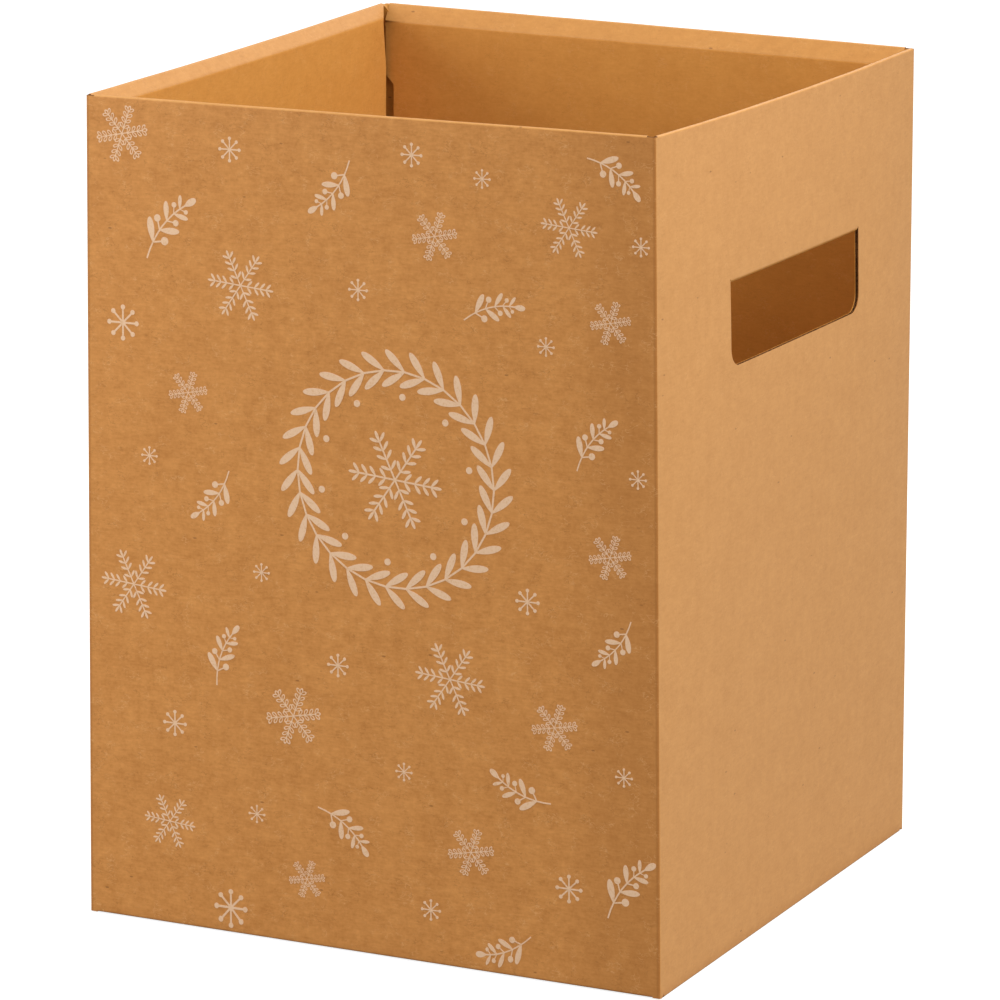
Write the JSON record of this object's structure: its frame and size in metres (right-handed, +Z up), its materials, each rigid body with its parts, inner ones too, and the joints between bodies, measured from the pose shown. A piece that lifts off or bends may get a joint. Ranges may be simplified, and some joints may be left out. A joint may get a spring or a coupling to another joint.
{
  "type": "kraft delivery box",
  "caption": "Tall open-top carton folded from a sheet of corrugated kraft board, with a turned-in rim, hand holes in its sides and a self-locking base, for carrying gifts or goods.",
  "frame": {"origin": "middle of the box's footprint, on the surface that it stands on", "axes": "+Z up from the base to the rim, -Y out of the printed front, +X out of the right-hand wall with a hand hole"},
  "size_m": [0.225, 0.225, 0.3],
  "materials": {
    "kraft_board": "uncoated brown kraft liner",
    "print_ink": "matt pale ink printed on kraft"
  },
  "bodies": {
    "root": {"carton": "kraft_board"}
  },
  "joints": []
}
